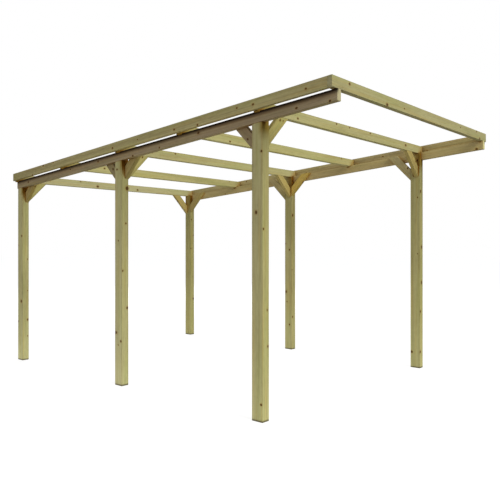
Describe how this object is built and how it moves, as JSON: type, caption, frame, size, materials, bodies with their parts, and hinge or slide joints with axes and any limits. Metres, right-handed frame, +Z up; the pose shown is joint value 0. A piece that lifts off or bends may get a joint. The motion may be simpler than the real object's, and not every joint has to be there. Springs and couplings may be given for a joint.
{
  "type": "open timber carport frame",
  "caption": "Open timber carport frame: rows of square-cut posts carry long beams, fascias and rafters that fall to the back, with slanting knee braces at every post.",
  "frame": {"origin": "on the ground, in the middle of the frame's length and width", "axes": "+X towards the open, higher front; +Y across, to the right seen from the front looking in; +Z up"},
  "size_m": [5.016, 3.208, 2.807],
  "materials": {
    "post_timber": "rough-planed softwood, pressure treated, matt, greenish tan with dark knots",
    "beam_timber": "rough-planed softwood, pressure treated, matt, greenish tan with dark knots",
    "fascia_timber": "rough-planed softwood, pressure treated, matt, greenish tan with dark knots",
    "rafter_timber": "rough-planed softwood, pressure treated, matt, greenish tan with dark knots",
    "brace_timber": "rough-planed softwood, pressure treated, matt, greenish tan with dark knots"
  },
  "bodies": {
    "root": {"post_left_front": "post_timber", "post_left_middle": "post_timber", "post_left_back": "post_timber", "post_right_front": "post_timber", "post_right_middle": "post_timber", "post_right_back": "post_timber", "beam_left": "beam_timber", "beam_right": "beam_timber", "fascia_left": "fascia_timber", "fascia_right": "fascia_timber", "rafter_front_end": "rafter_timber", "rafter_front_post": "rafter_timber", "rafter_front_bay": "rafter_timber", "rafter_middle_post": "rafter_timber", "rafter_back_bay": "rafter_timber", "rafter_back_post": "rafter_timber", "row_brace_left_front_rearward": "brace_timber", "row_brace_left_middle_forward": "brace_timber", "row_brace_left_middle_rearward": "brace_timber", "row_brace_left_back_forward": "brace_timber", "row_brace_right_front_rearward": "brace_timber", "row_brace_right_middle_forward": "brace_timber", "row_brace_right_middle_rearward": "brace_timber", "row_brace_right_back_forward": "brace_timber", "cross_brace_left_front": "brace_timber", "cross_brace_left_middle": "brace_timber", "cross_brace_left_back": "brace_timber", "cross_brace_right_front": "brace_timber", "cross_brace_right_middle": "brace_timber", "cross_brace_right_back": "brace_timber"}
  },
  "joints": []
}
